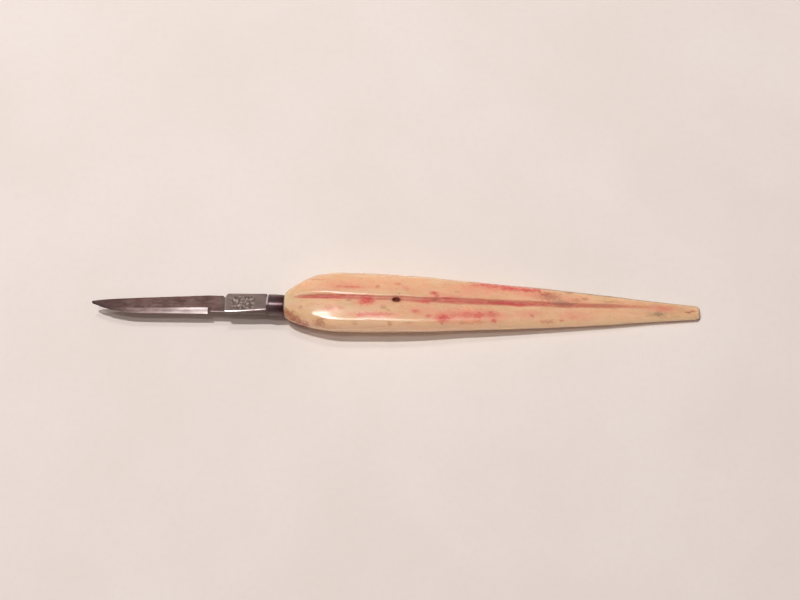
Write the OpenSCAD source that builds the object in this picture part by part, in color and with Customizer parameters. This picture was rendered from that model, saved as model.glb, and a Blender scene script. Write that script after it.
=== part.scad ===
// Fixed-blade desk penknife with a steel blade, a turned steel bolster and a bone handle.
//
// It lies on the flat underside of its handle. +X runs from the tip of the blade to the tail of
// the handle, +Z is up, and the origin is under the middle of the knife, on the surface it lies on.

/* [Handle] */
// Length of the bone handle from nose to tail
handle_length = 113; // [105:1:125]
// Width of the handle at its belly
belly_width = 16.1; // [15:0.1:18]
// Thickness of the handle at its belly
belly_thickness = 9.2; // [8.8:0.1:10.5]
// Diameter of the round nose of the handle
nose_diameter = 6.5; // [6.2:0.1:7]
// Width of the handle at its blunt tail
tail_width = 3.6; // [3.4:0.1:5]
// Thickness of the handle at its blunt tail
tail_thickness = 2.5; // [2.2:0.1:3.2]
// Depth of the natural groove in the top face
groove_depth = 0.5; // [0.2:0.05:0.6]
// Width of the natural groove in the top face
groove_width = 2; // [1.4:0.1:2.4]
// Diameter of the natural canal that opens in the groove
canal_diameter = 1.2; // [0.8:0.1:1.4]

/* [Bolster] */
// Length of the bolster along the knife
bolster_length = 4.7; // [4:0.1:6]
// Largest diameter of the bolster, just behind its rounded front rim
bolster_diameter = 5.88; // [5.6:0.02:6]

/* [Blade] */
// Height of the blade's axis above the surface the knife lies on
axis_height = 4.6; // [4.4:0.1:5]
// Length of the thick block between blade and bolster
ricasso_length = 11.2; // [9:0.1:13]
// Thickness of the thick block
ricasso_thickness = 3.5; // [3:0.1:3.8]
// Length of the bevelled part of the blade
edge_length = 31.4; // [25:0.1:35]
// Length of the thin unsharpened neck between the bevelled part and the thick block
neck_length = 4.7; // [4:0.1:6]
// Thickness of the blade at its heel
heel_thickness = 0.6; // [0.5:0.1:0.9]

/* [Tang] */
// Depth of the hole bored in the handle for the tang
bore_depth = 30; // [26:1:32]
// Diameter of the hole bored in the handle for the tang
bore_diameter = 3.4; // [3.2:0.1:3.6]
// Diameter of the round root of the tang inside the bolster
tang_diameter = 2.8; // [2.4:0.1:3]

/* [Hidden] */

$fn = 64;
tiny = 0.01;

// Places along the knife, from the tip at the left to the tail at the right
cement_rim_length = 0.15;
overall_length = edge_length + neck_length + ricasso_length + bolster_length
    + cement_rim_length + handle_length;
tip_x = -overall_length / 2;
heel_x = tip_x + edge_length;
ricasso_x = heel_x + neck_length;
bolster_x = ricasso_x + ricasso_length;
rim_x = bolster_x + bolster_length;
nose_x = rim_x + cement_rim_length;

// The blade's axis runs beside the middle of the belly, because the nose is off centre
axis_y = -1.2;
nose_swing = 11;

// Handle outline: [fraction of the length, fraction of the belly's half width, of its thickness]
nose_radius = nose_diameter / 2;
belly_half = belly_width / 2;
nose_top = (axis_height + nose_radius) / belly_thickness;
HANDLE_OUTLINE = [
    [0, nose_radius / belly_half, nose_top],
    [0.016, 0.58, nose_top + 0.02],
    [0.04, 0.745, 0.91],
    [0.065, 0.87, 0.945],
    [0.09, 0.95, 0.97],
    [0.12, 0.995, 0.985],
    [0.15, 1.00, 1.00],
    [0.28, 0.96, 0.955],
    [0.40, 0.87, 0.83],
    [0.52, 0.765, 0.69],
    [0.64, 0.66, 0.565],
    [0.76, 0.52, 0.45],
    [0.88, 0.362, 0.35],
    [1, tail_width / belly_width, tail_thickness / belly_thickness]
];

// Lowest point of each section before the flat is cut: [fraction of the length, height]
nose_bottom = axis_height - nose_radius;
HANDLE_BELLY = [
    [0, nose_bottom],
    [0.016, 0.65 * nose_bottom],
    [0.04, 0.3],
    [0.065, -0.15],
    [0.09, -0.4],
    [0.16, -0.6],
    [0.60, -0.5],
    [1, -0.25]
];

// Rounding of the section: a circle at the nose, squarer behind it
nose_exponent = 2;
belly_exponent = 2.5;
full_section_at = 0.1;
tail_exponent = 2.4;

// The crisp edge between the nearly flat top face and the side: how far out it lies, as a share of
// the half width, where it is full, where it has softened, and how much the top face is crowned
arris_nose = 0.6;
arris_belly = 0.77;
arris_out_at = 0.11;
arris_soft_at = 0.45;
arris_softness = 0.6;
top_crown = 0.25;

// Rounded rims at the two ends of the handle
tail_round = 1.2;
nose_round = 0.25;

// Groove: it starts at a point behind the nose and fades out before the tail, as a share of the length
groove_start = 0.03;
groove_full = 0.09;
groove_fade = 0.80;
groove_end = 0.93;

// The groove runs straight, a little to +Y of the belly's middle, and drifts further out towards the
// tail, but its centre never goes past the given share of the top face
groove_offset = 0.55;
groove_drift = 0.4;
drift_start = 0.45;
groove_limit = 0.45;

STATIONS = 60;
SIDE_STEPS = 12;
FACE_STEPS = 3;
GROOVE_SHAPE = [-1, -0.5, 0, 0.5, 1];

// Blade outline, measured from the axis
spine_heel_y = 2.25;
spine_drop = 0.056;
edge_heel_y = -2.82;
edge_low_y = -3.02;
tip_offset_y = -0.58;
belly_start = 0.42;
belly_power = 2.2;
tip_spine_drop = 0.4;
bevel_heel_y = -1.12;
bevel_tip_y = -1.91;
tip_thickness = 0.34;
edge_thickness = 0.06;
spine_chamfer = 0.08;
BLADE_STATIONS = 28;

// Neck, with the nick filed into both its faces behind the bevel, and the notch in the spine
neck_edge_y = -2.3;
choil_length = 0.7;
choil_top_y = -1.7;
choil_web = 0.2;
notch_width = 1.3;
notch_depth = 0.6;

// Ricasso block
ricasso_spine_y = 2.55;
ricasso_edge_y = -2.6;
ricasso_corner = 1.2;
ricasso_end_radius = 2.55;
ricasso_cone_length = 8;
ricasso_cone_radius = 3.2;

// Tang inside the handle
tang_length = 28;
tang_root_side = 1.9;
tang_overlap = 1;
tang_end_side = 1.2;
rim_radius = 2.75;
bolster_rear_radius = 2.78;
bolster_front_radius = 2.35;
bolster_round = 0.9;

// Natural canal: it enters the bone at a slant from the floor of the groove
canal_slant = 33;
canal_depth = 0.9;
canal_at = 0.267;
canal_beside = 0.3;

function mix(a, b, t) = a + (b - a) * t;
function clamp01(t) = max(0, min(1, t));
function ease(t) = let(u = clamp01(t)) u * u * (3 - 2 * u);

// Smooth curve through a list of [place, value, ...] rows, read in column c
function span(rows, x, i = 0) = i >= len(rows) - 2 || x < rows[i + 1][0] ? i : span(rows, x, i + 1);
function slope(rows, i, c) =
    let(lo = max(0, i - 1), hi = min(len(rows) - 1, i + 1))
    (rows[hi][c] - rows[lo][c]) / (rows[hi][0] - rows[lo][0]);
function curve(rows, c, x) =
    let(
        i = span(rows, x),
        step = rows[i + 1][0] - rows[i][0],
        t = (x - rows[i][0]) / step,
        start = rows[i][c],
        end = rows[i + 1][c],
        lead = step * slope(rows, i, c),
        trail = step * slope(rows, i + 1, c)
    )
    start * (2 * pow(t, 3) - 3 * t * t + 1) + lead * (pow(t, 3) - 2 * t * t + t)
        + end * (3 * t * t - 2 * pow(t, 3)) + trail * (pow(t, 3) - t * t);

// Handle sections. s is the distance from the nose, u the same as a fraction of the length.
function round_loss(s) =
    s > handle_length - tail_round
        ? tail_round - sqrt(max(0, pow(tail_round, 2) - pow(s - handle_length + tail_round, 2)))
        : s < nose_round ? nose_round - sqrt(pow(nose_round, 2) - pow(nose_round - s, 2)) : 0;
function half_width(s) = belly_half * curve(HANDLE_OUTLINE, 1, s / handle_length) - round_loss(s);
function top_height(s) =
    belly_thickness * curve(HANDLE_OUTLINE, 2, s / handle_length) - 0.6 * round_loss(s);
function low_height(s) = curve(HANDLE_BELLY, 1, s / handle_length) + 0.6 * round_loss(s);
function centre_y(s) = axis_y * (1 - sin(90 * clamp01(s / nose_swing)));
function exponent(s) =
    let(u = s / handle_length)
    u < full_section_at
        ? mix(nose_exponent, belly_exponent, ease(u / full_section_at))
        : mix(belly_exponent, tail_exponent, (u - full_section_at) / (1 - full_section_at));
function arris_share(s) = mix(arris_nose, arris_belly, ease(s / handle_length / arris_out_at));
function crispness(s) =
    let(u = s / handle_length)
    ease(u / full_section_at) * (1 - arris_softness * ease((u - arris_soft_at) / (1 - arris_soft_at)));
function groove_fullness(s) =
    let(u = s / handle_length)
    ease((u - groove_start) / (groove_full - groove_start))
        * (1 - ease((u - groove_fade) / (groove_end - groove_fade)));

// A section is a superellipse below the arris. Above it the crowned top face cuts it off, as far as
// the section is crisp there.
function middle_height(s) = (top_height(s) + low_height(s)) / 2;
function half_height(s) = (top_height(s) - low_height(s)) / 2;
function super_share(s, y) =
    let(n = exponent(s))
    pow(max(0, 1 - pow(abs(y) / half_width(s), n)), 1 / n);
function arris_y(s) = arris_share(s) * half_width(s);
function groove_centre(s) =
    let(u = s / handle_length)
    min(
        groove_offset - centre_y(s)
            + groove_drift * ease((u - drift_start) / (groove_fade - drift_start)),
        groove_limit * arris_y(s)
    );
function arris_height(s) =
    let(flat_height = top_height(s) - top_crown * half_width(s) / belly_half)
    mix(middle_height(s) + half_height(s) * super_share(s, arris_y(s)), flat_height, crispness(s));
function face_height(s, y) =
    let(
        rounded = middle_height(s) + half_height(s) * super_share(s, y),
        crowned = mix(top_height(s), arris_height(s), pow(y / arris_y(s), 2))
    )
    mix(rounded, crowned, crispness(s));
function groove_dip(s, k) = groove_depth * groove_fullness(s) * pow(1 - k * k, 2);

// One side of a section, from under the centreline up to the arris
function side_points(s, hand) =
    let(
        a = half_width(s),
        n = exponent(s),
        last = acos(pow(arris_share(s), n / 2)),
        rise = (arris_height(s) - middle_height(s)) / pow(sin(last), 2 / n)
    )
    [for (i = [1 : SIDE_STEPS])
        let(t = mix(-90, last, i / SIDE_STEPS), h = t < 0 ? half_height(s) : rise)
        [
            hand * a * pow(cos(t), 2 / n),
            middle_height(s) + h * sign(sin(t)) * pow(abs(sin(t)), 2 / n)
        ]];

// The top face between the arris lines, with the groove in it
function face_points(s) =
    let(
        arris = arris_y(s),
        middle = groove_centre(s),
        half = min(groove_width / 2, 0.4 * arris),
        left = middle + half,
        right = middle - half
    )
    concat(
        [for (i = [1 : FACE_STEPS - 1])
            let(y = mix(arris, left, i / FACE_STEPS)) [y, face_height(s, y)]],
        [for (k = GROOVE_SHAPE)
            let(y = middle - k * half) [y, face_height(s, y) - groove_dip(s, k)]],
        [for (i = [1 : FACE_STEPS - 1])
            let(y = mix(right, -arris, i / FACE_STEPS)) [y, face_height(s, y)]]
    );

function reversed(list) = [for (i = [len(list) - 1 : -1 : 0]) list[i]];

function handle_section(s) =
    let(shape = concat(
        [[0, low_height(s)]],
        side_points(s, 1),
        face_points(s),
        reversed(side_points(s, -1))
    ))
    [for (p = shape) [nose_x + s, centre_y(s) + p[0], p[1]]];

// A closed skin over a list of sections that all have the same number of points
module skin(sections) {
    around = len(sections[0]);
    count = len(sections);
    points = [for (ring = sections) for (p = ring) p];
    sides = [for (i = [0 : count - 2]) for (j = [0 : around - 1])
        let(k = (j + 1) % around)
        for (face = [
            [i * around + j, i * around + k, (i + 1) * around + j],
            [i * around + k, (i + 1) * around + k, (i + 1) * around + j]
        ]) face];
    start_cap = [for (j = [around - 1 : -1 : 0]) j];
    end_cap = [for (j = [0 : around - 1]) (count - 1) * around + j];
    polyhedron(points = points, faces = concat([start_cap], sides, [end_cap]), convexity = 6);
}

module along_x(x) {
    translate([x, axis_y, axis_height]) rotate([0, 90, 0]) children();
}

module handle_blank() {
    nose_steps = [0, nose_round * 0.3, nose_round];
    tail_steps = [for (a = [0 : 15 : 75]) handle_length - tail_round + tail_round * sin(a)];
    body_steps = [for (i = [1 : STATIONS]) let(t = i / (STATIONS + 1))
        mix(nose_round, handle_length - tail_round, t * (0.25 + 0.75 * t))];
    skin([for (s = concat(nose_steps, body_steps, tail_steps, [handle_length - tiny]))
        handle_section(s)]);
}

module natural_canal() {
    s = canal_at * handle_length;
    floor_z = face_height(s, groove_centre(s)) - groove_depth;
    translate([nose_x + s, centre_y(s) + groove_centre(s) - canal_beside, floor_z])
        rotate([0, 90 - canal_slant, 0])
            translate([0, 0, -canal_depth / sin(canal_slant)])
                cylinder(h = 6, d = canal_diameter, $fn = 32);
}

module handle() {
    color([0.86, 0.72, 0.57])
    difference() {
        handle_blank();
        translate([nose_x - 1, -belly_width, -2])
            cube([handle_length + 2, 2 * belly_width, 2]);
        along_x(nose_x - 1) cylinder(h = bore_depth + 1, d = bore_diameter);
        natural_canal();
    }
}

module bolster() {
    radius = bolster_diameter / 2;
    rim = [for (a = [0 : 30 : 90]) [
        mix(bolster_front_radius, radius, sin(a)),
        bolster_round * (1 - cos(a))
    ]];
    color([0.42, 0.34, 0.33])
    along_x(bolster_x)
        rotate_extrude()
            polygon(concat(
                [[tang_diameter / 2, 0]],
                rim,
                [[bolster_rear_radius, bolster_length], [tang_diameter / 2, bolster_length]]
            ));
}

module tang() {
    along_x(bolster_x - tiny)
        cylinder(h = bolster_length + cement_rim_length + tiny, d = tang_diameter);
    taper = [
        [nose_x - tang_overlap, -tang_root_side / 2],
        [nose_x + tang_length, -tang_end_side / 2],
        [nose_x + tang_length, tang_end_side / 2],
        [nose_x - tang_overlap, tang_root_side / 2]
    ];
    translate([0, axis_y, axis_height])
    intersection() {
        translate([0, 0, -2]) linear_extrude(4) polygon(taper);
        rotate([90, 0, 0]) translate([0, 0, -2]) linear_extrude(4) polygon(taper);
    }
}

module tang_cement() {
    color([0.20, 0.13, 0.11])
    difference() {
        union() {
            along_x(rim_x) cylinder(h = cement_rim_length, r = rim_radius);
            along_x(nose_x - tiny) cylinder(h = bore_depth + tiny, d = bore_diameter);
        }
        along_x(rim_x - 1) cylinder(h = cement_rim_length + 1, d = tang_diameter);
        tang();
    }
}

// Blade outline at a fraction t of the bevelled length, from the heel to the tip
function spine_y(t) = spine_heel_y - spine_drop * edge_length * t - tip_spine_drop * pow(t, 8);
function edge_y(t) =
    t < 1 - belly_start
        ? mix(edge_heel_y, edge_low_y, t / (1 - belly_start))
        : mix(edge_low_y, tip_offset_y, pow((t - 1 + belly_start) / belly_start, belly_power));
function blade_half(t) = mix(heel_thickness, tip_thickness, t) / 2;
function bevel_y(t) = max(mix(bevel_heel_y, bevel_tip_y, t), edge_y(t) + 0.2);

function blade_section(t) =
    let(
        x = heel_x - edge_length * t,
        h = blade_half(t),
        spine = max(spine_y(t), bevel_y(t) + 0.1),
        shape = [
            [edge_y(t), -edge_thickness / 2],
            [edge_y(t), edge_thickness / 2],
            [bevel_y(t), h],
            [spine - spine_chamfer, h],
            [spine, h - spine_chamfer],
            [spine, spine_chamfer - h],
            [spine - spine_chamfer, -h],
            [bevel_y(t), -h]
        ]
    )
    [for (p = shape) [x, axis_y + p[0], axis_height + p[1]]];

module ground_blade() {
    skin([for (i = [BLADE_STATIONS : -1 : 0]) blade_section(sqrt(i / BLADE_STATIONS))]);
}

module slab(outline, thickness) {
    translate([0, axis_y, axis_height - thickness / 2]) linear_extrude(thickness) polygon(outline);
}

module neck() {
    slab([
        [heel_x - tiny, neck_edge_y],
        [ricasso_x + tiny, neck_edge_y],
        [ricasso_x + tiny, spine_heel_y],
        [heel_x - tiny, spine_heel_y]
    ], heel_thickness);
}

module ricasso() {
    corner = [for (a = [180 : -15 : 90]) [
        ricasso_x + ricasso_corner + ricasso_corner * cos(a),
        ricasso_spine_y - ricasso_corner + ricasso_corner * sin(a)
    ]];
    intersection() {
        slab(concat(
            corner,
            [[bolster_x, ricasso_spine_y], [bolster_x, ricasso_edge_y], [ricasso_x, ricasso_edge_y]]
        ), ricasso_thickness);
        along_x(bolster_x - ricasso_length - 1) {
            cylinder(h = ricasso_length + 1 - ricasso_cone_length, r = ricasso_cone_radius);
            translate([0, 0, ricasso_length + 1 - ricasso_cone_length])
                cylinder(h = ricasso_cone_length, r1 = ricasso_cone_radius, r2 = ricasso_end_radius);
        }
    }
}

module choil_nicks() {
    depth = choil_top_y - edge_low_y;
    for (side = [0, 180])
        translate([heel_x - 2 * tiny, axis_y + choil_top_y, axis_height])
            rotate([side, 0, 0])
                translate([0, side == 0 ? -depth : 0, choil_web / 2])
                    cube([choil_length, depth, heel_thickness]);
}

module spine_notch() {
    bottom_y = axis_y + spine_heel_y - notch_depth;
    translate([ricasso_x, bottom_y, axis_height - 2])
        linear_extrude(4)
            polygon([[-notch_width / 2, notch_depth + 1], [0, 0], [notch_width / 2, notch_depth + 1]]);
}

module blade() {
    color([0.44, 0.36, 0.33])
    difference() {
        union() {
            ground_blade();
            neck();
            ricasso();
            tang();
        }
        choil_nicks();
        spine_notch();
    }
}

blade();
bolster();
handle();
tang_cement();
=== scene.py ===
"""Looks of the desk penknife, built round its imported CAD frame.

Sizes inside the shape functions are in millimetres, in the frame's axes: +X from tip to tail, +Z up.
"""

import math
from types import SimpleNamespace

import bpy
import numpy as np
from mathutils import Matrix, Vector


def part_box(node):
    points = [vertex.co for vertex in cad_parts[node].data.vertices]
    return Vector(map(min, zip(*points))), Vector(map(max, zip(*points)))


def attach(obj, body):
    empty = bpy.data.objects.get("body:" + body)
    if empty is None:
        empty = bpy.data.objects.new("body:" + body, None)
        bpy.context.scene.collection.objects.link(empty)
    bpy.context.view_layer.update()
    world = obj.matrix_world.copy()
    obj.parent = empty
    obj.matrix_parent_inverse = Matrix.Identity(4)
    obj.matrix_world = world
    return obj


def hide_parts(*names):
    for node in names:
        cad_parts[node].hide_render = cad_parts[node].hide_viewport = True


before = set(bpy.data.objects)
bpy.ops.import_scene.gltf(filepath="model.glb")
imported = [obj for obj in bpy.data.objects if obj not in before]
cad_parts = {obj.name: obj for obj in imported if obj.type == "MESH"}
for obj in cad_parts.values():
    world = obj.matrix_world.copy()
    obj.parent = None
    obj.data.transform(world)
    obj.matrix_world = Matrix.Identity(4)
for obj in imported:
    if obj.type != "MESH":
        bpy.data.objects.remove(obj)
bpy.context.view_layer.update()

MM = 0.001


# ---------------------------------------------------------------- places and sizes from the frame
def box_mm(node):
    """The two corners of a CAD node in millimetres."""
    low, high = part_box(node)
    return np.array(low) / MM, np.array(high) / MM


HANDLE_LOW, HANDLE_HIGH = box_mm("handle")
COLLAR_LOW, COLLAR_HIGH = box_mm("bolster")
BLADE_LOW, BLADE_HIGH = box_mm("blade")

NOSE_X = HANDLE_LOW[0]
HANDLE_LENGTH = HANDLE_HIGH[0] - NOSE_X
BELLY_HALF = (HANDLE_HIGH[1] - HANDLE_LOW[1]) / 2
BELLY_THICKNESS = HANDLE_HIGH[2]
COLLAR_RADIUS = (COLLAR_HIGH[2] - COLLAR_LOW[2]) / 2
AXIS_Y = (COLLAR_HIGH[1] + COLLAR_LOW[1]) / 2
AXIS_Z = (COLLAR_HIGH[2] + COLLAR_LOW[2]) / 2
TIP_X = BLADE_LOW[0]
COLLAR_X = COLLAR_LOW[0]
TANG_END_X = BLADE_HIGH[0]
OVERALL = HANDLE_HIGH[0] - TIP_X
# Sine and cosine of the camera's 75 degrees: places across the upper side are told along the picture's
# upright. What is painted with them stays fixed on the surface.
ACROSS_SHARE, HEIGHT_SHARE = 0.966, 0.259


# ---------------------------------------------------------------- small numeric helpers
def mix(a, b, t):
    return a + (b - a) * t


def ease(t):
    t = np.clip(t, 0, 1)
    return t * t * (3 - 2 * t)


def follow(rows, x):
    """Smooth curve through (place, value) rows."""
    place, value = (np.array(c, float) for c in zip(*rows))
    step = np.diff(place)
    slope = np.empty_like(value)
    slope[1:-1] = (value[2:] - value[:-2]) / (place[2:] - place[:-2])
    slope[0] = (value[1] - value[0]) / step[0]
    slope[-1] = (value[-1] - value[-2]) / step[-1]
    x = np.clip(x, place[0], place[-1])
    i = np.clip(np.searchsorted(place, x, side="right") - 1, 0, len(step) - 1)
    t = (x - place[i]) / step[i]
    return (
        value[i] * (2 * t**3 - 3 * t**2 + 1)
        + step[i] * slope[i] * (t**3 - 2 * t**2 + t)
        + value[i + 1] * (3 * t**2 - 2 * t**3)
        + step[i] * slope[i + 1] * (t**3 - t**2)
    )


def straight(rows, x):
    """Straight lines through (place, value) rows."""
    place, value = zip(*rows)
    return np.interp(x, place, value)


def ripple(points, size, seed, waves=24):
    """Smooth noise of about -1 to 1 at points (..., 3); size is its grain along each axis."""
    rng = np.random.default_rng(seed)
    turn = rng.normal(size=(waves, 3))
    turn /= np.linalg.norm(turn, axis=1)[:, None]
    turn *= rng.uniform(0.55, 1.5, waves)[:, None] * 2 * math.pi
    phase = rng.uniform(0, 2 * math.pi, waves)
    scaled = points / np.array(size, float)
    total = np.zeros(points.shape[:-1])
    for k, p in zip(turn, phase):
        total += np.sin(scaled @ k + p)
    return total / math.sqrt(waves / 2)


def spaced(length, spacing):
    """Places from 0 to length whose spacing follows spacing(place)."""
    fine = np.linspace(0, length, 6001)
    count = np.concatenate([[0], np.cumsum(np.diff(fine) / spacing((fine[1:] + fine[:-1]) / 2))])
    total = max(2, int(round(count[-1])))
    return np.interp(np.linspace(0, count[-1], total + 1), count, fine)


# ---------------------------------------------------------------- mesh building
def skin(name, points, faces, sharp):
    """A smooth piece that is creased where its faces meet at more than sharp degrees."""
    mesh = bpy.data.meshes.new(name)
    mesh.from_pydata((points * MM).tolist(), [], faces)
    mesh.polygons.foreach_set("use_smooth", [True] * len(mesh.polygons))
    mesh.set_sharp_from_angle(angle=math.radians(sharp))
    mesh.validate()
    mesh.update()
    piece = bpy.data.objects.new(name, mesh)
    bpy.context.scene.collection.objects.link(piece)
    return piece


def ring_points(rings):
    """The number of each point of the rings (stations, around, 3), and of its neighbour in the ring."""
    count, around, _ = rings.shape
    index = np.arange(count * around).reshape(count, around)
    return index, np.roll(index, -1, axis=1)


def ring_mesh(name, rings, sharp):
    """A closed skin over rings of points in millimetres, with a cap at each end."""
    index, beside = ring_points(rings)
    quads = np.stack([index[:-1], beside[:-1], beside[1:], index[1:]], -1).reshape(-1, 4)
    points = np.concatenate([rings.reshape(-1, 3), rings[0].mean(0)[None], rings[-1].mean(0)[None]])
    start, end = index.size, index.size + 1
    faces = quads.tolist()
    faces += [[b, a, start] for a, b in zip(index[0], beside[0])]
    faces += [[a, b, end] for a, b in zip(index[-1], beside[-1])]
    return skin(name, points, faces, sharp)


def lathe(name, rings, sharp):
    """A closed ring-shaped skin: the last ring joins the first, with no caps."""
    index, beside = ring_points(rings)
    after, after_beside = np.roll(index, -1, axis=0), np.roll(beside, -1, axis=0)
    quads = np.stack([index, beside, after_beside, after], -1).reshape(-1, 4)
    return skin(name, rings.reshape(-1, 3), quads.tolist(), sharp)


def store(piece, name, values):
    """Stores a number at each vertex for the material."""
    layer = piece.data.attributes.new(name, "FLOAT", "POINT")
    layer.data.foreach_set("value", values.reshape(-1).astype(np.float32))


def paint(piece, name, values):
    """Stores a number at each vertex of a capped skin; the two cap centres get the mean."""
    store(piece, name, np.concatenate([values.reshape(-1), [values[0].mean(), values[-1].mean()]]))


# ---------------------------------------------------------------- handle
NOSE_RADIUS = 3.25
TAIL_HALF = 1.8
TAIL_THICKNESS = 2.5
NOSE_TOP = (AXIS_Z + NOSE_RADIUS) / BELLY_THICKNESS
NOSE_BOTTOM = AXIS_Z - NOSE_RADIUS

# Fraction of the length, share of the belly's half width
WIDTH = [
    (0, NOSE_RADIUS / BELLY_HALF), (0.016, 0.58), (0.04, 0.745), (0.065, 0.87), (0.09, 0.95),
    (0.12, 0.995), (0.15, 1), (0.28, 0.96), (0.40, 0.87), (0.52, 0.765), (0.64, 0.66), (0.76, 0.52),
    (0.88, 0.362), (1, TAIL_HALF / BELLY_HALF),
]
# Fraction of the length, share of the belly's thickness
TOP = [
    (0, NOSE_TOP), (0.016, NOSE_TOP + 0.02), (0.04, 0.91), (0.065, 0.945), (0.09, 0.97),
    (0.15, 0.995), (0.28, 0.955), (0.40, 0.83), (0.52, 0.69), (0.64, 0.565), (0.76, 0.45),
    (0.88, 0.35), (1, TAIL_THICKNESS / BELLY_THICKNESS),
]
# Fraction of the length, lowest point before the underside is worn flat
BELLY = [
    (0, NOSE_BOTTOM), (0.016, 0.65 * NOSE_BOTTOM), (0.04, 0.3), (0.065, -0.15), (0.09, -0.4),
    (0.16, -0.6), (0.60, -0.5), (1, -0.25),
]
TAIL_ROUND = 1.2
NOSE_ROUND = 0.25
NOSE_SWING = 11

# Fraction of the length, place of the arris as a share of the half width
ARRIS = [
    (0, 0.54), (0.04, 0.59), (0.065, 0.67), (0.085, 0.745), (0.105, 0.785), (0.13, 0.79),
    (0.3, 0.775), (0.6, 0.745), (1, 0.73),
]
# Fraction of the length, how crisp the arris is
CRISP = [(0, 0), (0.02, 0.12), (0.045, 0.65), (0.068, 1), (0.45, 1), (0.75, 0.6), (1, 0.4)]
# Fraction of the length, blur of the arris in mm
SOFTNESS = [(0, 0.5), (0.07, 0.6), (0.12, 0.50), (0.17, 0.42), (0.45, 0.36), (1, 0.36)]
# Fraction of the length, how much the top face is crowned in mm
TOP_CROWN = [
    (0, 0.14), (0.05, 0.15), (0.07, 0.20), (0.09, 0.33), (0.105, 0.40), (0.13, 0.38), (0.16, 0.27),
    (0.22, 0.22), (0.5, 0.16), (1, 0.12),
]

# Groove: fraction of the length against its middle (from the belly's middle), half width and depth
GROOVE_MIDDLE = [
    (0, 0.52), (0.14, 0.56), (0.22, 0.50), (0.30, 0.42), (0.45, 0.50), (0.56, 0.52), (0.68, 0.60),
    (0.80, 0.80), (1, 0.90),
]
GROOVE_HALF = [
    (0, 0.4), (0.02, 0.55), (0.04, 0.95), (0.14, 1.05), (0.22, 1.05), (0.28, 0.90), (0.37, 1.05),
    (0.47, 1.0), (0.55, 0.95), (0.68, 0.80), (0.76, 0.70), (0.82, 0.56), (0.88, 0.48), (1, 0.4),
]
GROOVE_DEEP = [
    (0, 0), (0.021, 0), (0.034, 0.36), (0.05, 0.55), (0.08, 0.60), (0.12, 0.50), (0.22, 0.44),
    (0.5, 0.40), (0.75, 0.26), (0.93, 0), (1, 0),
]

# Natural canal that opens in the groove
CANAL_X = 0.267 * HANDLE_LENGTH
CANAL_HALF_LENGTH = 1.22
CANAL_HALF_WIDTH = 0.72
CANAL_DEPTH = 1.0
CANAL_BESIDE = 0.50

# Rounding of the edge where the underside is worn flat
FLAT_ROUND = 0.2

BORE_RADIUS = 1.7
BORE_DEPTH = 30
BORE_STEPS = (1, 0.66, 0.33, 0)

# Points of a finished section along each side and over the top, and points that it is blurred on
SIDE_POINTS = 60
TOP_POINTS = 132
BLUR_POINTS = 1024


def end_loss(s):
    """How much the rounded rims at the two ends take off the half width."""
    tail = np.clip(s - (HANDLE_LENGTH - TAIL_ROUND), 0, TAIL_ROUND)
    nose = np.clip(NOSE_ROUND - s, 0, NOSE_ROUND)
    return (TAIL_ROUND - np.sqrt(TAIL_ROUND**2 - tail**2)) + (
        NOSE_ROUND - np.sqrt(NOSE_ROUND**2 - nose**2)
    )


def handle_middle(s):
    """Sideways swing of the handle's middle line, from the bolster's axis to the belly's middle."""
    return AXIS_Y * (1 - np.sin(math.pi / 2 * np.clip(s / NOSE_SWING, 0, 1)))


def crisp_rings(s, steps=240):
    """Sections of the handle with a sharp arris: (stations, around, 2) of y from the middle and z."""
    u = s / HANDLE_LENGTH
    loss = end_loss(s)
    half = BELLY_HALF * follow(WIDTH, u) - loss
    top = BELLY_THICKNESS * follow(TOP, u) - 0.6 * loss
    low = follow(BELLY, u) + 0.6 * loss
    middle, tall = (top + low) / 2, (top - low) / 2
    power = np.where(u < 0.1, mix(2, 2.5, ease(u / 0.1)), mix(2.5, 2.4, (u - 0.1) / 0.9))
    share, crisp = follow(ARRIS, u), straight(CRISP, u)
    arris = share * half
    round_arris = (1 - share**power) ** (1 / power)
    flat_arris = top - straight(TOP_CROWN, u) * half / BELLY_HALF
    arris_z = mix(middle + tall * round_arris, flat_arris, crisp)

    last = np.arccos(share ** (power / 2))
    turn = mix(-math.pi / 2, last[:, None], np.linspace(0, 1, steps)[None])
    rise = (arris_z - middle) / np.sin(last) ** (2 / power)
    reach = np.where(turn < 0, tall[:, None], rise[:, None])
    bend = 2 / power[:, None]
    side_y = half[:, None] * np.abs(np.cos(turn)) ** bend
    side_z = middle[:, None] + reach * np.sign(np.sin(turn)) * np.abs(np.sin(turn)) ** bend

    across = np.linspace(1, -1, steps + 2)[1:-1][None]
    face_y = arris[:, None] * across
    n = power[:, None]
    rounded = middle[:, None] + tall[:, None] * (1 - np.abs(face_y / half[:, None]) ** n) ** (1 / n)
    crowned = mix(top[:, None], arris_z[:, None], across**2)
    face_z = mix(rounded, crowned, crisp[:, None])
    y = np.concatenate([side_y, face_y, -side_y[:, ::-1]], 1)
    z = np.concatenate([side_z, face_z, side_z[:, ::-1]], 1)
    return np.stack([y, z], -1), steps


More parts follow.
